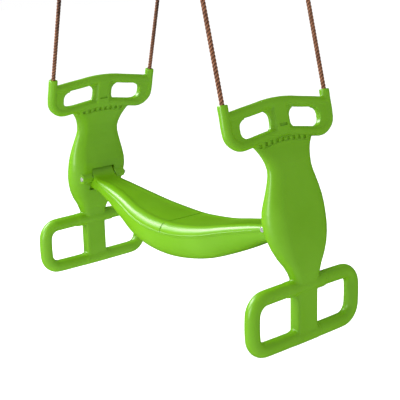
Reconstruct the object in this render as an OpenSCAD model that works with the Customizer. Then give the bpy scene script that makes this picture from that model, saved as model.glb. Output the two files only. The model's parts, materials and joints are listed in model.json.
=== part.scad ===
// Two-seat glider swing: two upright end frames, a curved seat between them and four
// hanging ropes. The origin is the middle between the four hanging links, at their bars.

/* [Overall] */
// Height of the hanging links' bars above the seat bolts
hang_h = 643; // [635:1:651]
// Distance between the mid-planes of the two uprights at the foot loops
span = 932; // [890:2:990]
// Inward lean of each upright above its foot loop, in degrees
lean = 12.6; // [10:0.1:15]
// Height of the bend of each upright, measured from the seat bolts
bend_z = -115; // [-125:1:-105]

/* [Handle] */
// Distance between the two rope sleeves of one upright
sleeve_gap = 360; // [330:2:420]
// Outer diameter of a rope sleeve
sleeve_d = 27; // [24:0.5:32]
// Height of the sleeve mouths along the upright, from the bend
sleeve_top = 448.8; // [440:0.1:465]
// Height of a sleeve above the top bar beside it
sleeve_rise = 17.3; // [10:0.1:22]
// Diameter of the top bar of the handle
top_bar_d = 29; // [22:1:32]
// Rise of the top bar from a sleeve to its middle
top_bar_rise = 17; // [8:0.5:24]
// Diameter of the lower bar of the handle
low_bar_d = 24.5; // [22:0.5:30]
// Height of the middle of the lower bar, from the bend
low_bar_h = 359; // [350:1:370]
// Drop of the lower bar from its middle to its ends
low_bar_drop = 15; // [4:1:18]
// Width of the end member of the handle, beside a hand window
end_member_w = 50.5; // [44:0.5:60]
// Thickness of the handle
handle_t = 25.5; // [22:0.5:30]
// Width of the thin web between the two hand windows
panel_w = 66; // [56:1:90]
// Thickness of that web
panel_t = 10; // [8:1:20]
// Width of the raised block on the web
block_w = 50; // [20:1:54]
// Thickness of that block
block_t = 24.5; // [12:0.5:25]
// Side of one of the small square dimples under the handle
dimple_w = 8; // [4:0.5:10]
// Distance between two dimples
dimple_pitch = 19.5; // [14:0.5:20]
// Number of dimples on one face
dimple_n = 10; // [4:1:12]

/* [Body] */
// Width of the body at the belly
belly_w = 205; // [180:1:240]
// Height of the belly above the seat bolts
belly_z = 24; // [10:1:40]
// Thickness of the body at the belly
belly_t = 68; // [60:1:80]
// Width of the body at the waist
waist_w = 147; // [120:1:170]
// Height of the waist above the seat bolts
waist_z = 152; // [140:1:165]
// Thickness of the body at the waist
waist_t = 42; // [32:1:54]
// Outward bow of the body at the waist
waist_out = 7; // [0:0.5:10]
// Width of the body at the neck, above the foot loop
neck_w = 94; // [76:1:120]
// Thickness of the body at the neck
neck_t = 44; // [36:1:56]
// Width of the post between the foot windows
post_w = 71; // [50:1:90]
// Thickness of that post
post_t = 35; // [28:1:38]

/* [Foot loop] */
// Distance between the centre lines of the two outer tubes
foot_w = 367; // [330:1:430]
// Diameter of the foot loop tube
foot_d = 39.5; // [32:0.5:44]
// Height of the upper tube's centre line, from the seat bolts
foot_top_z = -147.5; // [-154:0.5:-141]
// Height of the lower tube's centre line, from the seat bolts
foot_low_z = -283; // [-330:1:-260]
// Radius of the centre line in the corners
foot_corner_r = 42; // [26:1:48]

/* [Seat] */
// Width of the seat at its middle
seat_w = 180; // [150:1:210]
// Height of the seat top at the middle, from the seat bolts
seat_top_z = -59; // [-76:1:-41]
// Depth of the seat at its middle
seat_depth = 100; // [85:1:115]
// Width of the seat where it leaves the uprights
seat_end_w = 86; // [70:1:94]
// Height of the seat's end wall above the seat bolts
seat_end_z = 29; // [24:1:34]
// Depth of the seat's end below the seat bolts
seat_end_low = 43; // [34:1:50]
// Width of the groove across the middle of the seat
seat_groove_w = 7; // [3:0.5:12]
// Depth of that groove
seat_groove_d = 3; // [1:0.5:6]

/* [Seat joint] */
// Distance of a seat bolt from the upright's mid-plane
bolt_in = 42; // [38:1:46]
// How far the seat's end reaches into the upright
tenon_in = 14; // [8:1:18]
// Clearance round the seat's end in its pocket
fit_gap = 0.3; // [0.2:0.1:1]
// Diameter of a seat bolt
bolt_d = 8; // [6:1:10]
// Clearance of the bolt in its holes, on the diameter
bolt_play = 0.4; // [0.2:0.1:1]
// Outer diameter of the spacer tube in the seat's end
spacer_d = 13; // [12:0.5:16]
// Distance of the bolt's washer seat from the middle of the upright
washer_seat = 75; // [70:1:84]
// Diameter of a bolt washer
washer_d = 18; // [16:1:22]
// Thickness of a bolt washer
washer_t = 1.6; // [1:0.1:3]
// Width of the hexagon of bolt head and nut, across the flats
hex_af = 13; // [12:0.5:17]
// Height of the bolt head
head_h = 5.3; // [4:0.1:8]
// Height of the lock nut
nut_h = 8; // [6:0.5:10]

/* [Ropes] */
// Diameter of a rope
rope_d = 12; // [10:0.5:13]
// Clearance of the rope in its sleeve, on the diameter
rope_play = 2.5; // [1.5:0.5:4]
// Diameter of the stop crimped on the rope's lower end
stop_d = 18.4; // [16:0.2:19]
// Length of that stop
stop_h = 20; // [14:1:22]
// Inner diameter of the thimble in a rope's upper eye
thimble_in = 22; // [18:1:24]
// Thickness of the thimble
thimble_t = 1.5; // [1:0.25:2.5]
// Diameter of the ferrule that closes an eye
ferrule_d = 20; // [17:0.5:26]
// Length of that ferrule
ferrule_h = 32; // [25:1:36]

/* [Hanging links] */
// Distance of a link's bar from the middle of the swing
hang_x = 288; // [286:1:290]
// Diameter of the link's steel wire
link_d = 10; // [8:0.5:12]
// Room above an eye inside its link
link_room = 2.3; // [1:0.1:6]
// Running gap between a link's bar and a thimble
eye_gap = 0.3; // [0.1:0.1:1]
// The same gap at the right links, whose pivots stay free over the whole swing
free_gap = 0.7; // [0.5:0.1:1]
// Outward offset of the right links' bars that shares that free play between the two ways
free_shift = 0.9; // [0:0.1:1.2]

/* [Hidden] */
foot_x = span / 2;
handle_r = handle_t / 2;
su = sleeve_gap / 2;
end_u = su + sleeve_d / 2 - 1.2 - end_member_w / 2;
top_end_v = sleeve_top - sleeve_rise - top_bar_d / 2;
top_mid_v = top_end_v + top_bar_rise;
low_end_v = low_bar_h - low_bar_drop;
sleeve_foot_v = low_end_v + 34;
panel_u = panel_w / 2;
mid_x0 = foot_x + bend_z * tan(lean);
bolt_x = mid_x0 - bolt_in;
inner_x = mid_x0 - belly_t / 2;
tenon_x = inner_x + tenon_in;
pocket_u = seat_end_w / 2 + fit_gap;
rope_r = rope_d / 2;
sleeve_bore_d = rope_d + rope_play;
chamber_d = stop_d + 0.8;
chamber_top = sleeve_top - 42;
stop_washer_t = 2;
chamber_h = stop_h + stop_washer_t + 6;
bar_r = link_d / 2;
eye_in_r = thimble_in / 2;
eye_r = eye_in_r + thimble_t + rope_r;
eye_top = eye_r + rope_r - (eye_in_r - bar_r - eye_gap);
link_w = 2 * (sqrt(eye_top * eye_top + rope_r * rope_r) + link_room + bar_r);
green = [0.50, 0.75, 0.16];
rope_brown = [0.50, 0.31, 0.19];
steel = [0.78, 0.79, 0.80];
$fn = 48;

// Route of the right rear rope, from its sleeve's mouth to its upper end
route = [[368, 180, -320], [300, 180, -48]];

// ---- curves, rings and skins ----

// Table rows are [position, value, slope]; the curve passes through every row
function row_of(t, x, i = 0) = (i >= len(t) - 2 || x < t[i + 1][0]) ? i : row_of(t, x, i + 1);
function curve(t, x) =
    let (i = row_of(t, x), h = t[i + 1][0] - t[i][0], s = max(0, min(1, (x - t[i][0]) / h)))
    (2*s*s*s - 3*s*s + 1) * t[i][1] + (s*s*s - 2*s*s + s) * h * t[i][2]
    + (3*s*s - 2*s*s*s) * t[i + 1][1] + (s*s*s - s*s) * h * t[i + 1][2];

// Point of a closed smooth curve through p, at parameter u from 0 to len(p)
function around(p, u) =
    let (n = len(p), i = floor(u), s = u - i,
         a = p[(i + n - 1) % n], b = p[i % n], c = p[(i + 1) % n], d = p[(i + 2) % n])
    0.5 * (2 * b + (c - a) * s + (2 * a - 5 * b + 4 * c - d) * s * s
           + (3 * b - a - 3 * c + d) * s * s * s);

function flat(list) = [for (a = list) for (b = a) b];

// Skin over rings of equal length; closed joins the last ring to the first
module skin(rings, closed = false) {
    n = len(rings[0]);
    m = len(rings);
    sides = [for (j = [0 : m - (closed ? 1 : 2)]) for (i = [0 : n - 1])
             let (a = j * n + i, b = j * n + (i + 1) % n,
                  c = ((j + 1) % m) * n + (i + 1) % n, d = ((j + 1) % m) * n + i)
             each [[a, b, c], [a, c, d]]];
    caps = closed ? [] : [[for (i = [n - 1 : -1 : 0]) i], [for (i = [0 : n - 1]) (m - 1) * n + i]];
    polyhedron(points = flat(rings), faces = concat(sides, caps), convexity = 10);
}

// Moves what is drawn from the seat bolts' level to the swing axis as origin
module hung() translate([0, 0, -hang_h]) children();

// Places a shape drawn for the right upright at side s
module at_side(s) {
    if (s > 0) children(); else mirror([1, 0, 0]) children();
}

// Frame of the leaning part: x outward, y across, z up along the upright from the bend
module leaning() translate([foot_x, 0, bend_z]) rotate([0, -lean, 0]) children();

// ---- upright ----

shoulder_z = bend_z + (low_end_v - low_bar_d / 2) * cos(lean);
body_w_rows = [[foot_low_z, post_w / 2, 0], [foot_top_z - foot_d, post_w / 2, 0],
               [bend_z + 2, neck_w / 2, 0.78], [belly_z, belly_w / 2, 0],
               [(belly_z + waist_z) / 2 + 8, 0.61 * belly_w / 2 + 0.39 * waist_w / 2, -0.32],
               [waist_z, waist_w / 2, 0], [shoulder_z, waist_w / 2 + 16, 0.8],
               [shoulder_z + 14, waist_w / 2 + 36, 2]];
body_t_rows = [[foot_low_z, post_t / 2, 0], [foot_top_z - foot_d / 2, post_t / 2, 0],
               [bend_z + 2, neck_t / 2, 0.13], [belly_z - 12, belly_t / 2, 0],
               [belly_z + 20, belly_t / 2 - 1, -0.06], [waist_z, waist_t / 2, -0.13],
               [shoulder_z - 14, 15, -0.1], [shoulder_z + 14, handle_r, 0]];
edge_w_rows = [[foot_low_z, 6, 0], [foot_top_z - foot_d, 6, 0], [bend_z + 12, 28, 0.2],
               [belly_z, 1.3 * belly_t / 2, 0], [waist_z, 1.3 * waist_t / 2, -0.2],
               [shoulder_z + 14, 17, 0]];
bow_rows = [[belly_z, 0, 0], [waist_z, waist_out, 0], [shoulder_z + 14, 0, 0]];
body_z = [foot_low_z, foot_low_z + 14, foot_low_z + 30, -215, -180, -160, -146, -132, -120, -108,
          -94, -78, -60, -40, -20, 0, 20, 40, 60, 80, 100, 120, 138, 154, 170, 184, 196, 206,
          shoulder_z + 4, shoulder_z + 14];

function mid_x(z) = foot_x - max(0, z - bend_z) * tan(lean)
                    + (z > belly_z ? curve(bow_rows, z) : 0);
// Section of the body: two flat faces and two elliptical edges
function body_ring(z, k = 16) =
    let (w = curve(body_w_rows, z), t = curve(body_t_rows, z), e = curve(edge_w_rows, z))
    [for (i = [0 : 2 * k - 1])
        let (h = i < k, a = -90 + 180 * (i % k) / (k - 1), f = h ? 1 : -1)
        [mid_x(z) + f * t * sin(a), f * (w - e + e * cos(a)), z]];

// Half of the handle's centre line, with the half-width of the member as third value
grip_u = end_u - 44;
handle_half = [[0, top_mid_v, top_bar_d / 2], [panel_u + 8, top_mid_v - 2, top_bar_d / 2],
               [(panel_u + grip_u) / 2 + 4, top_mid_v - 7, top_bar_d / 2],
               [grip_u, top_end_v + 5, top_bar_d / 2],
               [end_u - 17, top_end_v - 4, 17.5], [end_u - 1, top_end_v - 25, end_member_w / 2],
               [end_u - 1, top_end_v - 42, end_member_w / 2],
               [end_u - 15, low_end_v + 9, 21], [grip_u, low_end_v, low_bar_d / 2 + 1],
               [(panel_u + grip_u) / 2, low_end_v + 8, low_bar_d / 2],
               [panel_u, low_bar_h - 2, low_bar_d / 2],
               [0, low_bar_h, low_bar_d / 2]];
handle_path = concat(handle_half, [for (i = [len(handle_half) - 2 : -1 : 1])
                     [-handle_half[i][0], handle_half[i][1], handle_half[i][2]]]);
function handle_ring(u, k = 14) =
    let (p = around(handle_path, u), q = around(handle_path, u + 0.02) - around(handle_path, u),
         g = [q[0], q[1]] / norm([q[0], q[1]]))
    [for (i = [0 : k - 1]) let (a = 360 * i / k)
        [handle_r * sin(a), p[0] + g[1] * p[2] * cos(a), p[1] - g[0] * p[2] * cos(a)]];

module handle() {
    steps = 3 * len(handle_path);
    skin([for (i = [0 : steps - 1]) handle_ring(i / 3)], closed = true);
    for (b = [[panel_t, panel_w], [block_t, block_w]]) translate([-b[0] / 2, -b[1] / 2, low_bar_h])
        cube([b[0], b[1], top_mid_v - low_bar_h]);
    for (s = [-1, 1]) translate([0, s * su, sleeve_foot_v])
        cylinder(d = sleeve_d, h = sleeve_top - sleeve_foot_v);
}

// Four straight tubes and four quarter bends
module foot_loop() {
    hu = foot_w / 2;
    r = foot_corner_r;
    for (z = [foot_top_z, foot_low_z]) translate([foot_x, -hu + r, z])
        rotate([-90, 0, 0]) cylinder(d = foot_d, h = foot_w - 2 * r);
    for (s = [-1, 1]) translate([foot_x, s * hu, foot_low_z + r])
        cylinder(d = foot_d, h = foot_top_z - foot_low_z - 2 * r);
    for (s = [-1, 1], e = [-1, 1])
        translate([foot_x, s * (hu - r), (e > 0 ? foot_top_z : foot_low_z) - e * r])
            rotate([90, 0, 90]) rotate([0, 0, (s > 0 ? (e > 0 ? 0 : 270) : (e > 0 ? 90 : 180))])
                rotate_extrude(angle = 90) translate([r, 0]) circle(d = foot_d);
}

// Raised cheek beside the seat's end, drawn for side s of the pocket
module cheek(s) {
    w = washer_seat - pocket_u;
    translate([0, s > 0 ? pocket_u : -washer_seat, 0]) rotate([-90, 0, 0]) hull() {
        translate([bolt_x + 1, 0, 0]) cylinder(r = 15, h = w, $fn = 32);
        translate([inner_x + 10, -36, 0]) cylinder(r = 9, h = w, $fn = 32);
        translate([inner_x + 10, 44, 0]) cylinder(r = 9, h = w, $fn = 32);
    }
}

module dimples() {
    top = low_bar_h - (low_bar_d + dimple_w) / 2;
    for (i = [0 : dimple_n - 1]) {
        u = (i - (dimple_n - 1) / 2) * dimple_pitch;
        leaning() for (f = [-1, 1])
            translate([f * (handle_r + 1.6), u, top - low_bar_drop * u * u / 13500])
                cube([8, dimple_w, dimple_w], center = true);
    }
}

module upright() {
    difference() {
        union() {
            skin([for (z = body_z) body_ring(z)]);
            foot_loop();
            leaning() handle();
            cheek(-1);
            cheek(1);
        }
        translate([inner_x - 40, -pocket_u, -seat_end_low - fit_gap])
            cube([tenon_in + 40 + fit_gap, 2 * pocket_u, seat_end_z + seat_end_low + 2 * fit_gap]);
        translate([bolt_x, -200, 0]) rotate([-90, 0, 0]) cylinder(d = bolt_d + bolt_play, h = 400);
        for (s = [-1, 1]) translate([bolt_x, s > 0 ? washer_seat : -washer_seat - 40, 0])
            rotate([-90, 0, 0]) cylinder(d = washer_d + 3, h = 40);
        for (s = [-1, 1]) leaning() translate([0, s * su, 0]) {
            translate([0, 0, chamber_top - 1]) cylinder(d = sleeve_bore_d, h = 60);
            translate([0, 0, chamber_top - chamber_h]) cylinder(d = chamber_d, h = chamber_h);
        }
        dimples();
    }
}

module left_upright() color(green) hung() at_side(-1) upright();
module right_upright() color(green) hung() upright();

// ---- seat ----

// The seat's curves are drawn for its own length and stretched along it with the span
end_x = inner_x - 1;
drawn_bolt_x = 398.3;
seat_k = bolt_x / drawn_bolt_x;
end_n = end_x / seat_k;
tenon_n = tenon_x / seat_k;
top_rows = [[0, seat_top_z, 0], [77, seat_top_z + 3, 0.08], [154, seat_top_z + 12, 0.16],
            [230, seat_top_z + 27, 0.215], [307, seat_top_z + 44, 0.2],
            [360, seat_top_z + 54, 0.24], [385, seat_top_z + 62.5, 0.5],
            [end_n - 8, seat_end_z - 14, 1.2], [end_n, seat_end_z, 0], [tenon_n, seat_end_z, 0]];
edge_rows = [[0, seat_top_z - 26, 0], [77, seat_top_z - 22, 0.1], [154, seat_top_z - 11, 0.19],
             [230, seat_top_z + 7, 0.25], [307, seat_top_z + 26, 0.28],
             [345, seat_top_z + 38, 0.38], [384, seat_top_z + 51, 0.3], [end_n, 4, 0.1],
             [tenon_n, 4, 0]];
low_rows = [[0, seat_top_z - seat_depth, 0], [77, seat_top_z - seat_depth + 3, 0.1],
            [154, seat_top_z - seat_depth + 16, 0.22], [230, seat_top_z - seat_depth + 38, 0.37],
            [307, -82, 0.52], [345, -62, 0.52], [384, -seat_end_low, 0.3],
            [tenon_n, -seat_end_low, 0]];
wide_rows = [[0, seat_w / 2, 0], [77, seat_w / 2 - 1.5, -0.05], [154, seat_w / 2 - 8.5, -0.15],
             [230, seat_w / 2 - 24, -0.2], [307, seat_end_w / 2 + 9, -0.15],
             [365, seat_end_w / 2 + 1, -0.05], [378, seat_end_w / 2, 0],
             [tenon_n, seat_end_w / 2, 0]];
soft_rows = [[0, 27, 0], [300, 24, 0], [365, 18, -0.3], [end_n, 6, 0], [tenon_n, 6, 0]];
seat_x = concat(seat_k * [0, 38, 77, 115, 154, 192, 230, 268, 307, 332, 350, 364, 374, 382, 388,
                          393, 397, 401], [end_x, tenon_x]);

// Section of the seat: flat top, rounded edges, deep rounded underside
function seat_ring(x, k = 9) =
    let (a = abs(x) / seat_k, zt = curve(top_rows, a), ze = curve(edge_rows, a), zb = curve(low_rows, a),
         w = curve(wide_rows, a), r = curve(soft_rows, a), e = a > 365 ? 0.5 : 0.82)
    concat([for (i = [0 : k - 1]) let (g = 90 * i / k)
                [x, -(w - r + r * cos(g)), ze + (zt - ze) * sin(g)]],
           [for (i = [0 : k]) let (g = 90 - 90 * i / k)
                [x, w - r + r * cos(g), ze + (zt - ze) * sin(g)]],
           [for (i = [1 : 2 * k - 1]) let (g = 180 * i / (2 * k), c = cos(g))
                [x, w * sign(c) * pow(abs(c), e), ze - (ze - zb) * pow(sin(g), e)]]);

module seat_body() {
    xs = concat([for (i = [len(seat_x) - 1 : -1 : 1]) -seat_x[i]], seat_x);
    skin([for (x = xs) seat_ring(x)]);
}

module seat() color(green) hung() difference() {
    seat_body();
    translate([-seat_groove_w / 2, -seat_w, seat_top_z - seat_groove_d])
        cube([seat_groove_w, 2 * seat_w, 20]);
    for (s = [-1, 1]) translate([s * bolt_x, -100, 0]) rotate([-90, 0, 0])
        cylinder(d = spacer_d + bolt_play, h = 200);
}

// ---- bolts of the seat joint ----

// Places a shape drawn along +Y from the seat bolt's middle at both joints
module at_bolts() hung() for (s = [-1, 1]) translate([s * bolt_x, 0, 0]) children();

module tube(od, id, h) difference() {
    cylinder(d = od, h = h);
    translate([0, 0, -1]) cylinder(d = id, h = h + 2);
}

module hexagon(h) cylinder(d = hex_af / cos(30), h = h, $fn = 6);

module seat_bolts() color(steel) at_bolts() rotate([-90, 0, 0]) {
    translate([0, 0, -washer_seat - washer_t - head_h]) hexagon(head_h);
    translate([0, 0, -washer_seat - washer_t - 0.5])
        cylinder(d = bolt_d, h = 2 * (washer_seat + washer_t) + nut_h + 2.5);
}

module bolt_washers() color(steel) at_bolts() for (s = [-1, 1]) scale([1, s, 1])
    rotate([-90, 0, 0]) translate([0, 0, washer_seat]) tube(washer_d, bolt_d + 0.4, washer_t);

module bolt_nuts() color(steel) at_bolts() rotate([-90, 0, 0])
    translate([0, 0, washer_seat + washer_t]) difference() {
        union() {
            hexagon(nut_h - 2);
            cylinder(d = hex_af - 1, h = nut_h);
        }
        translate([0, 0, -1]) cylinder(d = bolt_d + 0.1, h = nut_h + 2);
    }

module spacer_tubes() color(steel) at_bolts() rotate([-90, 0, 0])
    translate([0, 0, -seat_end_w / 2]) tube(spacer_d, bolt_d + bolt_play, seat_end_w);

// ---- ropes ----

function unit(v) = v / norm(v);
function rope_ring(c, d, r, k = 10) =
    let (a = unit(cross(d, [0, 1, 0])), b = unit(cross(d, a)))
    [for (i = [0 : k - 1]) c + r * (cos(360 * i / k) * a + sin(360 * i / k) * b)];

// Round tube along the route; its lower end is blunted, so that it can tilt in the sleeve's mouth
module rope(sx, sy, rings = 9) {
    p = [for (q = route) [sx * q[0], sy * q[1], q[2]]];
    d = unit(p[1] - p[0]);
    skin(concat([rope_ring(p[0], d, rope_r / 3)],
                [for (i = [0 : rings - 1])
                 rope_ring(p[0] + 1.5 * d + (p[1] - p[0] - 1.5 * d) * i / (rings - 1), d, rope_r)]));
}
module left_front_rope() color(rope_brown) rope(-1, -1);
module left_rear_rope() color(rope_brown) rope(-1, 1);
module right_front_rope() color(rope_brown) rope(1, -1);
module right_rear_rope() color(rope_brown) rope(1, 1);

// Places a shape drawn along the upright's own direction in each of the four sleeves
module at_sleeves() hung() for (sx = [-1, 1], sy = [-1, 1])
    at_side(sx) leaning() translate([0, sy * su, 0]) children();

stop_z = chamber_top - stop_washer_t - stop_h;
module rope_tails() color(rope_brown) at_sleeves()
    translate([0, 0, stop_z]) cylinder(r = rope_r, h = sleeve_top - 0.6 - stop_z);

module rope_stops() color(steel) at_sleeves()
    translate([0, 0, stop_z]) tube(stop_d, rope_d + 0.2, stop_h);

module stop_washers() color(steel) at_sleeves()
    translate([0, 0, chamber_top - stop_washer_t]) tube(stop_d, rope_d + 0.8, stop_washer_t);

// Places a shape at the eyes of side sx: z points along the rope, away from the link's bar
rope_lean = atan2(route[0][0] - route[1][0], route[1][2] - route[0][2]);
module at_eyes(sx) for (sy = [-1, 1])
    translate([sx * hang_x, sy * su, 0]) rotate([0, 180 - sx * rope_lean, 0]) children();
// Distance of the middle of an eye below the link's bar
function eye_off(sx) = eye_in_r - bar_r - (sx > 0 ? free_gap : eye_gap);
neck_end = norm([route[1][0] - hang_x, route[1][2]]);

module eyes(sx) color(rope_brown) at_eyes(sx) difference() {
    o = eye_off(sx);
    union() {
        translate([0, 0, o]) rotate([90, 0, 0])
            rotate_extrude() translate([eye_r, 0]) circle(r = rope_r);
        translate([0, 0, o + eye_r]) cylinder(r = rope_r, h = neck_end - 0.2 - o - eye_r);
    }
    translate([0, 0, o]) rotate([90, 0, 0])
        cylinder(r = eye_in_r + thimble_t + 0.05, h = 2 * rope_r, center = true);
}

module thimbles(sx) color(steel) at_eyes(sx) translate([0, 0, eye_off(sx)]) rotate([90, 0, 0])
    rotate_extrude() difference() {
        translate([eye_in_r, -rope_r]) square([thimble_t + 3, rope_d]);
        translate([eye_r, 0]) circle(r = rope_r + 0.05);
    }

module ferrules(sx) color(steel) at_eyes(sx) translate([0, 0, neck_end - ferrule_h / 2])
    tube(ferrule_d, rope_d + 0.2, ferrule_h);

module left_eyes() eyes(-1);
module right_eyes() eyes(1);
module left_thimbles() thimbles(-1);
module right_thimbles() thimbles(1);
module left_ferrules() ferrules(-1);
module right_ferrules() ferrules(1);

// ---- hanging links ----

// Two D-shaped links of side sx: a straight bar under a half ring
module links(sx) color(steel) for (sy = [-1, 1])
    translate([sx * hang_x + (sx > 0 ? free_shift : 0), sy * su, 0]) {
        translate([0, -link_w / 2, 0]) rotate([-90, 0, 0]) cylinder(d = link_d, h = link_w);
        rotate([90, 0, 90]) rotate_extrude(angle = 180)
            translate([link_w / 2, 0]) circle(d = link_d);
        for (s = [-1, 1]) translate([0, s * link_w / 2, 0]) sphere(d = link_d);
    }
module left_links() links(-1);
module right_links() links(1);

left_upright();
right_upright();
seat();
seat_bolts();
bolt_washers();
bolt_nuts();
spacer_tubes();
left_front_rope();
left_rear_rope();
right_front_rope();
right_rear_rope();
rope_tails();
rope_stops();
stop_washers();
left_eyes();
right_eyes();
left_thimbles();
right_thimbles();
left_ferrules();
right_ferrules();
left_links();
right_links();
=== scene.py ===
# Two-seat glider swing: two moulded end uprights, a curved seat bolted between them and four
# ropes up to their hanging links. Metres, +X along the seat, +Z up, origin amid the links.
import json
import math
import bmesh
import bpy
from mathutils import Matrix, Vector
from mathutils.geometry import intersect_point_line


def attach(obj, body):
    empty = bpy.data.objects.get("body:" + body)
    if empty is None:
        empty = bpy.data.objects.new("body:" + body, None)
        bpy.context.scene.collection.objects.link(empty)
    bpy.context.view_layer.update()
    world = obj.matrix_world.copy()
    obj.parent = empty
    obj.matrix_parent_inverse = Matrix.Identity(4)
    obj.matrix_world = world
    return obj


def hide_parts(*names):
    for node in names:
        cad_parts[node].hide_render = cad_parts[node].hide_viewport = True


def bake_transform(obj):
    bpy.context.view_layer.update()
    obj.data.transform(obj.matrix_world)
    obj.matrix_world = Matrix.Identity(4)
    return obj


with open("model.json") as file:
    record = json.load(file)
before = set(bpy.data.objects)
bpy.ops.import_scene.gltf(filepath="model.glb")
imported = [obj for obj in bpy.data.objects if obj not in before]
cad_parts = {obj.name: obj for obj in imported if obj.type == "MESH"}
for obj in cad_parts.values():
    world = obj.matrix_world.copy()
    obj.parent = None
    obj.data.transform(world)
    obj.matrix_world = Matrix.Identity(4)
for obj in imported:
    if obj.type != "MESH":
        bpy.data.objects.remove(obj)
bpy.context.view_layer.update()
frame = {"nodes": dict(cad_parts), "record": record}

MM = 0.001
BOLT_Z = -643 * MM          # height of the seat bolts
FOOT_X = 466 * MM           # mid-plane of an upright at its foot loop
BEND_BELOW = 115 * MM       # an upright starts to lean this far below the bolts
LEAN = math.radians(12.6)
BOLT_X = 398.3 * MM
BOLT_SEAT = 75 * MM         # distance of a bolt's washer from the upright's middle
ROPE_Y = 180 * MM           # distance of the ropes, sleeves and side tubes from the middle
STRAND_R = 3.1 * MM
STRAND_OFF = 3.25 * MM      # a strand's middle from the rope's middle
LAY = 27 * MM               # length of one full turn of a strand
# the right rear rope: the lower end in its sleeve, the sleeve's mouth and the upper end
ROPE_TAIL = Vector((0.3745, ROPE_Y, -0.3455))
ROPE_MOUTH = Vector((0.368, ROPE_Y, -0.320))
ROPE_TOP = Vector((0.300, ROPE_Y, -0.048))
LINK_X = 288 * MM           # the thimbles' pivots on their links
EYE_R = 18.5 * MM           # bend of a rope round its thimble


# ---- working at the bench ----

def put_down():
    """Leaves edit mode and lets go of everything."""
    if bpy.context.object and bpy.context.object.mode != "OBJECT":
        bpy.ops.object.mode_set(mode="OBJECT")
    bpy.ops.object.select_all(action="DESELECT")


def hold(piece):
    """Makes the piece the only one in hand."""
    put_down()
    bpy.context.view_layer.objects.active = piece
    piece.select_set(True)
    return piece


def edit(piece):
    """Opens the piece's mesh with all of it selected."""
    hold(piece)
    bpy.ops.object.mode_set(mode="EDIT")
    bpy.ops.mesh.select_all(action="SELECT")


def settle(piece, name=None):
    """Puts the piece's place into its mesh, and names it where a name is given."""
    hold(piece)
    bpy.ops.object.transform_apply(location=True, rotation=True, scale=True)
    if name:
        piece.name = piece.data.name = name
    return piece


def finish_with(piece, kind, **settings):
    """Puts one modifier on the piece and applies it."""
    hold(piece)
    m = piece.modifiers.new(kind.title(), kind)
    for key, value in settings.items():
        setattr(m, key, value)
    bpy.ops.object.modifier_apply(modifier=m.name)
    return piece


def ease(piece, width, segments):
    """Rounds the piece's sharp edges; the width is in millimetres."""
    return finish_with(piece, "BEVEL", width=width * MM, segments=segments,
                       limit_method="ANGLE", angle_limit=math.radians(50))


def join(pieces, name):
    """Makes one object of the pieces, without welding them."""
    put_down()
    for p in pieces:
        p.select_set(True)
    bpy.context.view_layer.objects.active = pieces[0]
    bpy.ops.object.join()
    return settle(bpy.context.object, name)


def cut(piece, tool, operation="DIFFERENCE"):
    """Takes the tool off the piece, or joins or crosses the two, and throws the tool away."""
    hold(piece)
    m = piece.modifiers.new("Cut", "BOOLEAN")
    m.operation, m.solver, m.object = operation, "EXACT", tool
    bpy.ops.object.modifier_apply(modifier=m.name)
    bpy.data.objects.remove(tool)
    return piece


def copied(piece, name, matrix):
    """A moved or mirrored copy with a mesh of its own."""
    new = piece.copy()
    new.data = piece.data.copy()
    new.name = new.data.name = name
    bpy.context.collection.objects.link(new)
    new.data.transform(matrix)
    if matrix.determinant() < 0:
        new.data.flip_normals()
    return new


def smooth(piece, angle):
    """Shades the piece smooth, but for edges sharper than the angle in degrees."""
    hold(piece)
    bpy.ops.object.shade_smooth_by_angle(angle=math.radians(angle))
    return piece


# ---- finishes ----

def material(name):
    m = bpy.data.materials.new(name)
    m.use_nodes = True
    return m, m.node_tree.nodes, m.node_tree.links, m.node_tree.nodes["Principled BSDF"]


def noise(nodes, links, scale, detail):
    place = nodes.new("ShaderNodeTexCoord")
    n = nodes.new("ShaderNodeTexNoise")
    n.inputs["Scale"].default_value = scale
    n.inputs["Detail"].default_value = detail
    links.new(place.outputs["Object"], n.inputs["Vector"])
    return n


def ramp(nodes, links, source, stops):
    r = nodes.new("ShaderNodeValToRGB")
    while len(r.color_ramp.elements) < len(stops):
        r.color_ramp.elements.new(0.5)
    for e, (at, colour) in zip(r.color_ramp.elements, stops):
        e.position, e.color = at, (*colour, 1)
    links.new(source, r.inputs["Fac"])
    return r


def bump(nodes, links, shader, source, strength, distance):
    b = nodes.new("ShaderNodeBump")
    b.inputs["Strength"].default_value = strength
    b.inputs["Distance"].default_value = distance
    links.new(source, b.inputs["Height"])
    links.new(b.outputs["Normal"], shader.inputs["Normal"])


def moulded_green():
    m, nodes, links, shader = material("moulded_green")
    clouds = noise(nodes, links, 9, 3)
    tint = ramp(nodes, links, clouds.outputs["Fac"],
                [(0.3, (0.118, 0.312, 0.0018)), (0.7, (0.132, 0.342, 0.003))])
    links.new(tint.outputs["Color"], shader.inputs["Base Color"])
    grain = noise(nodes, links, 900, 2)
    gloss = ramp(nodes, links, clouds.outputs["Fac"], [(0.2, (0.30,) * 3), (0.8, (0.38,) * 3)])
    links.new(gloss.outputs["Color"], shader.inputs["Roughness"])
    bump(nodes, links, shader, grain.outputs["Fac"], 0.12, 0.0003)
    shader.inputs["Subsurface Weight"].default_value = 0.08
    shader.inputs["Subsurface Radius"].default_value = (0.004, 0.009, 0.001)
    shader.inputs["Subsurface Scale"].default_value = 1.0
    shader.inputs["IOR"].default_value = 1.51
    return m


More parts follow.
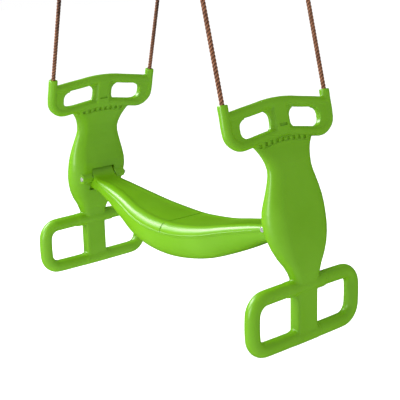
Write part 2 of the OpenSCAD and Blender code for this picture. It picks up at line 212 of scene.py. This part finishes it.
def zinc_steel():
    m, nodes, links, shader = material("zinc_steel")
    clouds = noise(nodes, links, 120, 4)
    tint = ramp(nodes, links, clouds.outputs["Fac"],
                [(0.3, (0.68, 0.69, 0.70)), (0.7, (0.86, 0.86, 0.87))])
    links.new(tint.outputs["Color"], shader.inputs["Base Color"])
    gloss = ramp(nodes, links, clouds.outputs["Fac"], [(0.3, (0.22,) * 3), (0.8, (0.38,) * 3)])
    links.new(gloss.outputs["Color"], shader.inputs["Roughness"])
    shader.inputs["Metallic"].default_value = 0.7
    return m


def twisted_rope():
    m, nodes, links, shader = material("twisted_rope")
    yarn = nodes.new("ShaderNodeAttribute")
    yarn.attribute_name = "UVMap"
    wave = nodes.new("ShaderNodeTexWave")
    wave.inputs["Scale"].default_value = 3.0
    wave.inputs["Distortion"].default_value = 1.5
    wave.bands_direction = "DIAGONAL"
    links.new(yarn.outputs["Vector"], wave.inputs["Vector"])
    clouds = noise(nodes, links, 70, 4)
    mixed = nodes.new("ShaderNodeMath")
    mixed.operation = "MULTIPLY_ADD"
    links.new(wave.outputs["Fac"], mixed.inputs[0])
    mixed.inputs[1].default_value = 0.45
    links.new(clouds.outputs["Fac"], mixed.inputs[2])
    tint = ramp(nodes, links, mixed.outputs[0],
                [(0.30, (0.08, 0.024, 0.009)), (0.62, (0.20, 0.07, 0.026)),
                 (0.95, (0.33, 0.13, 0.052))])
    # painted shade: where the groove value rises, between the strands, the rope's colour is mixed
    # towards near-black
    groove = nodes.new("ShaderNodeAttribute")
    groove.attribute_name = "groove"
    shade = nodes.new("ShaderNodeMix")
    shade.data_type = "RGBA"
    links.new(groove.outputs["Fac"], shade.inputs["Factor"])
    links.new(tint.outputs["Color"], shade.inputs["A"])
    shade.inputs["B"].default_value = (0.022, 0.005, 0.0015, 1)
    links.new(shade.outputs["Result"], shader.inputs["Base Color"])
    shader.inputs["Roughness"].default_value = 0.7
    bump(nodes, links, shader, wave.outputs["Fac"], 0.5, 0.0006)
    return m


GREEN, STEEL, ROPE = moulded_green(), zinc_steel(), twisted_rope()


def wear(piece, finish):
    """Gives the piece its one finish."""
    piece.data.materials.clear()
    piece.data.materials.append(finish)
    return piece


# ---- camera and ropes ----

def camera():
    """Long lens from the front right, a little above the seat and slightly rolled."""
    data = bpy.data.cameras.new("camera")
    eye = bpy.data.objects.new("camera", data)
    bpy.context.collection.objects.link(eye)
    data.sensor_width, data.lens = 36, 85.3785
    data.clip_start, data.clip_end = 0.1, 50
    az, el, roll = math.radians(49.25), math.radians(14.57), math.radians(-1.52)
    back = Vector((math.sin(az) * math.cos(el), -math.cos(az) * math.cos(el), math.sin(el)))
    side = (-back).cross(Vector((0, 0, 1))).normalized()
    up = side.cross(-back)
    across = math.cos(roll) * side + math.sin(roll) * up
    upward = -math.sin(roll) * side + math.cos(roll) * up
    turn = Matrix((across, upward, back)).transposed().to_4x4()
    aim, distance = Vector((0.06982, 0, 0.00304 + BOLT_Z)), 2.66425
    eye.matrix_world = Matrix.Translation(aim + back * distance) @ turn
    bpy.context.scene.camera = eye


def strand(path, phase):
    """One of three strands laid round the rope's line."""
    data = bpy.data.curves.new("strand", "CURVE")
    data.dimensions, data.bevel_depth, data.bevel_resolution = "3D", STRAND_R, 3
    data.use_fill_caps = True
    lengths = [0.0]
    for a, b in zip(path, path[1:]):
        lengths.append(lengths[-1] + (b - a).length)
    steps = int(lengths[-1] / (1.6 * MM))
    line = data.splines.new("POLY")
    line.points.add(steps)
    for i in range(steps + 1):
        s = lengths[-1] * i / steps
        k = max(j for j in range(len(path) - 1) if lengths[j] <= s + 1e-9)
        run = (path[k + 1] - path[k]).normalized()
        p = path[k] + run * (s - lengths[k])
        u = run.cross(Vector((0, 1, 0))).normalized()
        v = run.cross(u)
        a = 2 * math.pi * s / LAY + phase
        line.points[i].co = (*(p + (u * math.cos(a) + v * math.sin(a)) * STRAND_OFF), 1)
    piece = bpy.data.objects.new("strand", data)
    bpy.context.collection.objects.link(piece)
    return piece


def laid(name, path):
    """Three-strand rope along a path; its groove value, 1 deep between the strands, is the mask of
    painted shade there.
    """
    strands = [strand(path, 2 * math.pi * i / 3) for i in range(3)]
    for s in strands:
        hold(s)
        bpy.ops.object.convert(target="MESH")
    piece = smooth(join(strands, name), 70)
    # mask of painted shade: 1 deep in the crevices between the strands, 0 on their outer faces
    groove = piece.data.attributes.new("groove", "FLOAT", "POINT")
    for v, depth in zip(piece.data.vertices, groove.data):
        off = min((v.co - intersect_point_line(v.co, a, b)[0]).length
                  for a, b in zip(path, path[1:]))
        depth.value = min(1, max(0, (6.2 * MM - off) / (1.5 * MM)))
    return wear(piece, ROPE)


def ropes():
    for name, sx, sy in (("left_front", -1, -1), ("left_rear", -1, 1),
                         ("right_front", 1, -1), ("right_rear", 1, 1)):
        path = [Matrix.Diagonal((sx, sy, 1)) @ p for p in (ROPE_TAIL, ROPE_MOUTH, ROPE_TOP)]
        piece = laid(name + "_strands", path)
        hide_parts(name + "_rope")
        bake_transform(piece)


def eyes(side, sx):
    """The two upper eyes of one side: each rope goes round its thimble into its ferrule."""
    lean = sx * math.atan2(ROPE_MOUTH.x - ROPE_TOP.x, ROPE_TOP.z - ROPE_MOUTH.z)
    down, over = (math.sin(lean), -math.cos(lean)), (math.cos(lean), math.sin(lean))
    # the thimble's middle below its pivot; the right ones have more running gap
    middle = 5.3 if sx > 0 else 5.7
    bend = EYE_R / MM
    turns = [math.radians(36 + 6 * i) for i in range(49)]
    loop = [(2.6, 42), (3.2, 35)]
    loop += [(bend * math.sin(a), middle + bend * math.cos(a)) for a in turns]
    loop += [(-3.2, 35), (-2.6, 42)]
    for y, place in ((-ROPE_Y, "_front"), (ROPE_Y, "_rear")):
        path = [Vector(((sx * LINK_X / MM + t * down[0] + q * over[0]) * MM, y,
                        (t * down[1] + q * over[1]) * MM)) for q, t in loop]
        piece = laid(side + place + "_eye", path)
        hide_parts(side + "_eyes")
        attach(piece, side + "_ropes")


# ---- light and floor ----

def light(name, place, target, size, power):
    data = bpy.data.lights.new(name, "AREA")
    data.shape, data.energy = "RECTANGLE", power
    data.size, data.size_y = size
    lamp = bpy.data.objects.new(name, data)
    bpy.context.collection.objects.link(lamp)
    lamp.location = place
    lamp.rotation_euler = (Vector(target) - Vector(place)).to_track_quat("-Z", "Y").to_euler()


def studio():
    """White world kept out of the gloss, a pale floor and three soft lights."""
    world = bpy.data.worlds.new("studio")
    bpy.context.scene.world = world
    world.use_nodes = True
    sky = world.node_tree.nodes["Background"]
    sky.inputs["Color"].default_value = (1, 1, 1, 1)
    sky.inputs["Strength"].default_value = 1.0
    world.cycles_visibility.glossy = False
    bpy.context.scene.view_settings.view_transform = "Standard"
    bpy.ops.mesh.primitive_plane_add(size=40, location=(0, 0, BOLT_Z - 0.62))
    floor = bpy.context.object
    floor.name = "floor"
    edit(floor)
    bpy.ops.mesh.subdivide(number_cuts=3)
    settle(floor)
    m, _, _, shader = material("pale_floor")
    shader.inputs["Base Color"].default_value = (0.9, 0.9, 0.9, 1)
    shader.inputs["Roughness"].default_value = 0.9
    shader.inputs["Emission Color"].default_value = (1, 1, 1, 1)
    shader.inputs["Emission Strength"].default_value = 0.25
    floor.data.materials.append(m)
    floor.visible_glossy = False
    aim = (0, 0, BOLT_Z)
    light("key", (-2.7, -2.4, 1.8), aim, (1.4, 2.2), 100)
    light("strip", (-0.2, -3.8, 0.2), aim, (0.6, 2.6), 75)
    light("high", (-2.5, -0.9, 1.6), aim, (1.5, 1.0), 85)


# ---- shapes to start from ----

def tube(name, points, radius, flat=1.0, closed=False):
    """Round bar along points given in millimetres; a point may carry its own radius."""
    data = bpy.data.curves.new(name, "CURVE")
    data.dimensions, data.bevel_depth, data.bevel_resolution = "3D", radius * MM, 7
    data.resolution_u, data.use_fill_caps = 8, True
    line = data.splines.new("BEZIER")
    line.bezier_points.add(len(points) - 1)
    line.use_cyclic_u = closed
    for knot, p in zip(line.bezier_points, points):
        knot.co = [c * MM for c in p[:3]]
        knot.handle_left_type = knot.handle_right_type = "AUTO"
        knot.radius = p[3] / radius if len(p) > 3 else 1
    bar = bpy.data.objects.new(name, data)
    bpy.context.collection.objects.link(bar)
    hold(bar)
    bpy.ops.object.convert(target="MESH")
    bar = bpy.context.object
    bar.scale.x = flat
    return settle(bar)


def block(centre, size, bevel=0, segments=4):
    """Box in millimetres, with rounded edges where a bevel is given."""
    put_down()
    bpy.ops.mesh.primitive_cube_add(size=MM, location=[c * MM for c in centre], scale=size)
    piece = settle(bpy.context.object)
    if bevel:
        edit(piece)
        bpy.ops.mesh.bevel(offset=bevel * MM, segments=segments, affect="EDGES")
        put_down()
    return piece


def rod(centre, radius, length, axis="Z", vertices=48):
    """Round bar or cutter about a centre, in millimetres; with six vertices, a hexagon."""
    turn = {"Y": (math.pi / 2, 0, 0), "Z": (0, 0, 0)}[axis]
    put_down()
    bpy.ops.mesh.primitive_cylinder_add(vertices=vertices, radius=radius * MM, depth=length * MM,
                                        location=[c * MM for c in centre], rotation=turn)
    return settle(bpy.context.object)


def slab(outline, thickness):
    """Plate in the Y-Z plane from its outline, in millimetres."""
    put_down()
    bpy.ops.mesh.primitive_circle_add(vertices=len(outline), radius=0.1, fill_type="NGON")
    plate = bpy.context.object
    for corner, (u, v) in zip(plate.data.vertices, outline):
        corner.co = (-thickness / 2 * MM, u * MM, v * MM)
    edit(plate)
    bpy.ops.mesh.extrude_region_move(TRANSFORM_OT_translate={"value": (thickness * MM, 0, 0)})
    bpy.ops.mesh.select_all(action="SELECT")
    bpy.ops.mesh.normals_make_consistent(inside=False)
    put_down()
    return plate


def both_ways(points):
    """Points of one half, from the middle outwards, and their mirror images in Y."""
    return [(x, -y, *rest) for x, y, *rest in reversed(points[1:])] + points


def weld(pieces, name, voxel, passes):
    """Makes one skin of overlapping pieces, with soft fillets where they meet.

    The voxel is in millimetres; more smoothing passes give wider fillets."""
    piece = join(pieces, name)
    finish_with(piece, "REMESH", mode="VOXEL", voxel_size=voxel * MM)
    return finish_with(piece, "SMOOTH", factor=0.5, iterations=passes)


# ---- uprights ----

def body():
    """Belly, waist and neck: one outline drawn out through stations, in millimetres.

    A station is its height from the bolts, half its width, half its thickness and how far it
    stands out from the leaning line."""
    edge = 0.42  # share of the half width that is rounded; the rest is flat
    stations = [(-160, 35, 18, 0), (-148, 37, 18.5, 0), (-138, 40, 19.5, 0), (-126, 44.5, 21, 0),
                (-113, 49.5, 22.5, 0), (-96, 58, 25, 0), (-84, 66.5, 27.3, -0.3),
                (-72, 75, 29.5, -1), (-48, 87.5, 33.5, -2), (-24, 95.5, 36.5, -3),
                (0, 100.5, 37.5, -3.5), (24, 102, 37.5, -3.5), (48, 100.5, 35.5, -1),
                (72, 96, 31, 3.5), (96, 89, 26.5, 7), (120, 81, 23, 9), (138, 75.5, 21, 9.5),
                (152, 73.8, 20, 9), (168, 77, 18.5, 7.5), (182, 82.5, 17, 5),
                (194, 89.5, 15.6, 2.5), (204, 97, 14.4, 1), (212, 104, 13.7, 0),
                (218, 110, 13.2, 0), (224, 112, 12, 0)]
    rows = [(FOOT_X / MM - max(0, z + BEND_BELOW / MM) * math.tan(LEAN) + out,
             z + BOLT_Z / MM, w, t) for z, w, t, out in stations]
    x, z, w, t = rows[0]
    put_down()
    bpy.ops.mesh.primitive_circle_add(vertices=64, radius=1, fill_type="NGON",
                                      location=(x * MM, 0, z * MM))
    piece = bpy.context.object
    settle(piece)
    edit(piece)
    bpy.ops.mesh.select_mode(type="VERT")
    for way in (-1, 1):
        bpy.ops.mesh.select_all(action="DESELECT")
        work = bmesh.from_edit_mesh(piece.data)
        for v in work.verts:
            v.select_set(v.co.y * way > 1e-4)
        work.select_flush_mode()
        bpy.ops.transform.translate(value=(0, way * (1 - edge) / edge, 0))
    bpy.ops.mesh.select_all(action="SELECT")
    bpy.ops.transform.resize(value=(t * MM, w * MM * edge, 1), center_override=(x * MM, 0, z * MM))
    bpy.ops.mesh.select_mode(type="FACE")
    for (x0, z0, w0, t0), (x, z, w, t) in zip(rows, rows[1:]):
        step = ((x - x0) * MM, 0, (z - z0) * MM)
        bpy.ops.mesh.extrude_region_move(TRANSFORM_OT_translate={"value": step})
        bpy.ops.transform.resize(value=(t / t0, w / w0, 1), center_override=(x * MM, 0, z * MM))
    bpy.ops.mesh.select_all(action="SELECT")
    bpy.ops.mesh.normals_make_consistent(inside=False)
    put_down()
    return piece


def handle():
    """Hand loops in the upright's own leaning frame: X outwards, Y across, Z along it."""
    top = both_ways([(0, 0, 434.3, 14.5), (0, 40, 432.6, 14.5), (0, 83, 427, 14.4),
                     (0, 122, 422.3, 14.2), (0, 160, 417.5, 13.5), (0, 178, 415, 13)])
    low = both_ways([(0, 0, 359, 12.4), (0, 35, 357.4, 12.4), (0, 80, 351.5, 12.6),
                     (0, 112, 346.5, 13), (0, 136, 343.5, 13.3)])
    parts = [tube("top_bar", top, 14.5, 0.88), tube("low_bar", low, 12.4, 1.08)]
    # the window's outer end: a quarter bend down from the top bar and one back to the low bar
    bend = [(123 + 20 * math.cos(a), v + 20 * math.sin(a))
            for v, first in ((386, 90), (379, 0))
            for a in (math.radians(first - 18 * i) for i in range(6))]
    plate = [(104, 345), (150, 340), (170, 352), (181, 372), (181, 416), (158, 418),
             (123, 423), *bend, (104, 359)]
    for way in (-1, 1):
        y = way * ROPE_Y / MM
        side = [(0, y, 447, 13.3), (0, y, 420, 13.3), (0, y, 385, 13.3),
                (0, way * 176.5, 366, 13.4), (0, way * 165, 353.5, 13.5),
                (0, way * 150, 345.5, 13.5), (0, way * 132, 343.5, 13.3)]
        parts.append(tube("side_tube", side, 13.3))
        outline = plate if way > 0 else [(-u, v) for u, v in reversed(plate)]
        parts.append(slab(outline, 19))
        parts.append(rod((0, y, 440), 13.5, 17.6))
    flare = [(48, 352), (45, 366), (38, 372), (34.5, 380), (33.5, 392), (34.5, 402), (39, 410),
             (47, 415), (48, 434)]
    web = flare + [(-u, v) for u, v in reversed(flare)]
    parts += [slab(web, 11), block((0, 0, 394), (27, 46, 86), 3)]
    return parts


def corner(y, z, radius, start):
    """Points of a quarter bend about a centre, from a start angle in degrees."""
    turns = [math.radians(start + 15 * i) for i in range(7)]
    return [(FOOT_X / MM, y + radius * math.cos(a), z + radius * math.sin(a)) for a in turns]


def foot_loop():
    """Tube round the two foot windows, with a collar where the neck and post meet it."""
    half, r, x = 183.5, 42, FOOT_X / MM
    high, low = BOLT_Z / MM - 147.5, BOLT_Z / MM - 283
    ring = (corner(half - r, high - r, r, 0) + corner(r - half, high - r, r, 90)
            + corner(r - half, low + r, r, 180) + corner(half - r, low + r, r, 270))
    return [tube("foot_tube", ring, 19.75, closed=True),
            block((x, 0, (high + low) / 2), (35, 71, high - low), 5),
            rod((x, 0, high), 21.3, 132, "Y"), rod((x, 0, low), 21, 88, "Y")]


def handle_cutters():
    """What is cut into the handle, in its leaning frame: shallow bands first, then the rest."""
    details, bands = [], []
    for way in (-1, 1):
        rope_bore = rod((0, way * ROPE_Y / MM, 430), 7.25, 60)
        recess = block((way * 13.4, 0, 378), (6, 27, 7), 1, 2)
        details += [rope_bore, recess]
        band = slab([(u, 336 - 0.0015 * u * u) for u in range(-100, 101, 10)]
                    + [(u, 347.5 - 0.0011 * u * u) for u in range(100, -101, -10)], 6)
        band.location.x = way * 14.8 * MM
        bands.append(settle(band))
        for i in range(10):
            u = (i - 4.5) * 19.5
            dimple = block((way * 12.6, u, 342.7 - 15 * u * u / 13500), (9, 9.8, 9.8), 1.3, 2)
            details.append(dimple)
    return join(bands, "dimple_bands"), join(details, "handle_cutters")


def upright():
    """The right upright: one skin, then its pocket, bolt holes, bores and relief cut in."""
    bend = Matrix.Translation((FOOT_X, 0, BOLT_Z - BEND_BELOW))
    lean_frame = bend @ Matrix.Rotation(-LEAN, 4, "Y")
    parts = handle()
    for p in parts:
        p.matrix_world = lean_frame
        settle(p)
    parts.append(body())
    parts += foot_loop()
    bolt_x, bolt_z = BOLT_X / MM, BOLT_Z / MM
    for way in (-1, 1):
        boss = rod((bolt_x + 5, way * 61.5, bolt_z), 14.5, 37, "Y")
        parts.append(boss)
    shell = weld(parts, "right_upright_shell", 2.2, 7)
    pocket = block((bolt_x - 10, 0, bolt_z - 7), (64, 86.6, 72.6))
    cut(shell, pocket)
    drills = [rod((bolt_x, 0, bolt_z), 4.2, 300, "Y")]
    for way in (-1, 1):
        washer_face = rod((bolt_x, way * (BOLT_SEAT / MM + 20), bolt_z), 10.5, 40, "Y")
        drills.append(washer_face)
    cut(shell, join(drills, "bolt_drill"))
    for tool in handle_cutters():
        tool.matrix_world = lean_frame
        cut(shell, settle(tool))
    return shell


# ---- seat ----

def between(rows, x):
    """Smooth value at x through rows of (x, value), level at the first row."""
    def slope(i):
        if i == 0:
            return 0
        after = min(i + 1, len(rows) - 1)
        return (rows[after][1] - rows[i - 1][1]) / (rows[after][0] - rows[i - 1][0])

    k = max(i for i in range(len(rows) - 1) if rows[i][0] <= x or i == 0)
    h = rows[k + 1][0] - rows[k][0]
    s = min(1, max(0, (x - rows[k][0]) / h))
    return ((2*s**3 - 3*s*s + 1) * rows[k][1] + (s**3 - 2*s*s + s) * h * slope(k)
            + (3*s*s - 2*s**3) * rows[k + 1][1] + (s**3 - s*s) * h * slope(k + 1))


# along half the seat, in millimetres: heights from the bolts (top, edge, low), half the width,
# the rounding of the top's edge and the depth of the pan in the top
SEAT_TOP = [(0, -59), (77, -55), (154, -44), (230, -27), (307, -11.5), (360, -3.5), (384, 2.5),
            (397, 14), (404.3, 29), (420, 29)]
SEAT_EDGE = [(0, -87), (77, -82), (154, -69), (230, -48.5), (307, -30), (345, -20.5), (384, -8),
             (405, 2), (420, 3)]
SEAT_LOW = [(0, -163), (77, -157), (154, -142), (230, -114.5), (307, -80), (345, -60), (384, -45),
            (400, -43), (420, -43)]
SEAT_HALF = [(0, 93), (77, 91.5), (154, 80.5), (230, 64.5), (307, 52), (365, 44), (380, 42.7),
             (420, 42.7)]
SEAT_ROUND = [(0, 30), (230, 28), (307, 24), (365, 17), (397, 7), (420, 5)]
SEAT_PAN = [(0, 1.2), (12, 2.2), (250, 2), (345, 1.4), (384, 0.4), (420, 0)]


def seat_section(x):
    """One section of the seat, from the middle of its top round to its middle again."""
    a = abs(x)
    top, edge, low = (between(t, a) for t in (SEAT_TOP, SEAT_EDGE, SEAT_LOW))
    half, soft, pan = (between(t, a) for t in (SEAT_HALF, SEAT_ROUND, SEAT_PAN))
    flat = half - soft
    # power of the belly's curve: boxy at the ends and in the middle, rounder between them
    square = 0.5 if a > 375 else 0.5 + 0.28 * min(1, (375 - a) / 60)
    square -= 0.24 * max(0, min(1, (350 - a) / 160))
    pts = []
    for i in range(13):
        y = flat * i / 12
        inside = min(1, max(0, (flat + 4 - y) / 16))
        pts.append((y, top - pan * inside ** 2 * (3 - 2 * inside)))
    rim = 3.4
    for i in range(1, 13):
        g = math.radians(90 * i / 12)
        pts.append((flat + soft * math.sin(g), edge + rim + (top - edge - rim) * math.cos(g)))
    lip = 1.1 if a < 380 else 0
    pts += [(half + lip, edge + 2.6), (half + lip, edge + 0.6), (half + lip * 0.2, edge),
            (half + lip, edge - 0.6), (half + lip, edge - 2.6), (half, edge - rim)]
    for i in range(1, 21):
        g = math.radians(90 * i / 20)
        fall = (edge - rim - low) * math.sin(g) ** square
        pts.append((half * math.cos(g) ** square, edge - rim - fall))
    ring = [(x, y, z) for y, z in pts]
    return ring + [(x, -y, z) for y, z in reversed(pts[1:-1])]


def seat():
    """Seat shell through its sections, closest together at the ends, grooved and drilled."""
    reach = 418.3
    xs = [reach * math.sin(math.radians(i)) for i in range(-90, 91)]
    work = bmesh.new()
    rings = [[work.verts.new((x * MM, y * MM, z * MM + BOLT_Z)) for x, y, z in seat_section(x)]
             for x in xs]
    for a, b in zip(rings, rings[1:]):
        for i in range(len(a)):
            j = (i + 1) % len(a)
            work.faces.new((a[i], a[j], b[j], b[i]))
    work.faces.new(rings[0])
    work.faces.new(reversed(rings[-1]))
    bmesh.ops.recalc_face_normals(work, faces=work.faces)
    data = bpy.data.meshes.new("seat_shell")
    work.to_mesh(data)
    work.free()
    piece = bpy.data.objects.new("seat_shell", data)
    bpy.context.collection.objects.link(piece)
    line = both_ways([(0, 0, -61.5), (0, 50, -61), (0, 72, -62.5), (0, 87, -70), (0, 95, -86),
                      (0, 104, -98)])
    cut(piece, tube("groove", [(x, y, BOLT_Z / MM + z) for x, y, z in line], 2.2))
    holes = [rod((way * BOLT_X / MM, 0, BOLT_Z / MM), 6.7, 120, "Y") for way in (-1, 1)]
    cut(piece, join(holes, "bolt_holes"))
    return piece


def chamfered_hexagon(y, height, way):
    """Hexagon head or nut with its outer corners turned off, along Y."""
    head = rod((0, y + way * height / 2, 0), 7.5, height, "Y", vertices=6)
    crown = rod((0, y + way * (height / 2 - 4), 0), 7.1, height + 8, "Y")
    return cut(head, ease(crown, 1.1, 3), "INTERSECT")


def at_both_joints(pieces, name, node):
    """Copies pieces drawn about a bolt's middle to both joints, as one piece."""
    one = join(pieces, name)
    other = copied(one, "other", Matrix.Translation((-BOLT_X, 0, BOLT_Z)))
    one.data.transform(Matrix.Translation((BOLT_X, 0, BOLT_Z)))
    both = wear(smooth(join([one, other], name), 35), STEEL)
    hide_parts(node)
    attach(both, "glider")


def fixings():
    """Bolts, washers and lock nuts of the seat joint."""
    thick = 1.6  # of a washer
    seat_at = BOLT_SEAT / MM + thick
    spare = 10.5  # length of the shank beyond the outer faces of its two washers
    shank = ease(rod((0, 5, 0), 4, 2 * seat_at + spare, "Y"), 0.7, 2)
    at_both_joints([chamfered_hexagon(-seat_at, 5.3, -1), shank], "hexagon_bolts", "seat_bolts")
    collar = ease(rod((0, seat_at + 6.2, 0), 5.9, 3.4, "Y"), 1, 3)
    nut = cut(chamfered_hexagon(seat_at, 6, 1), collar, "UNION")
    at_both_joints([cut(nut, rod((0, seat_at, 0), 4.05, 40, "Y"))], "lock_nuts", "bolt_nuts")
    washers = []
    for way in (-1, 1):
        y = way * (seat_at - thick / 2)
        ring = cut(rod((0, y, 0), 9, thick, "Y"), rod((0, y, 0), 4.2, 8, "Y"))
        washers.append(ease(ring, 0.35, 2))
    at_both_joints(washers, "plain_washers", "bolt_washers")


def green_shells():
    """Both uprights, the left one a mirrored copy of the right, and the seat."""
    right = smooth(upright(), 38)
    wear(right, GREEN)
    left = copied(right, "left_upright_shell", Matrix.Diagonal((-1, 1, 1, 1)))
    bench = wear(smooth(seat(), 38), GREEN)
    for piece, node in ((right, "right_upright"), (left, "left_upright"), (bench, "seat")):
        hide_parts(node)
        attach(piece, "glider")


def finish_cad_pieces():
    """Gives every CAD piece the finish of its slot."""
    finishes = {"green_plastic": GREEN, "zinc_steel": STEEL, "rope": ROPE}
    slots = {p["node"]: p["material_slot"] for p in frame["record"]["subparts"]}
    for node, piece in frame["nodes"].items():
        finish = finishes[slots[node]]
        if not piece.material_slots:
            piece.data.materials.append(finish)
        for place in piece.material_slots:
            place.material = finish


# ---- the whole object ----

camera()
eyes("left", -1)
eyes("right", 1)
ropes()
studio()
fixings()
green_shells()
finish_cad_pieces()
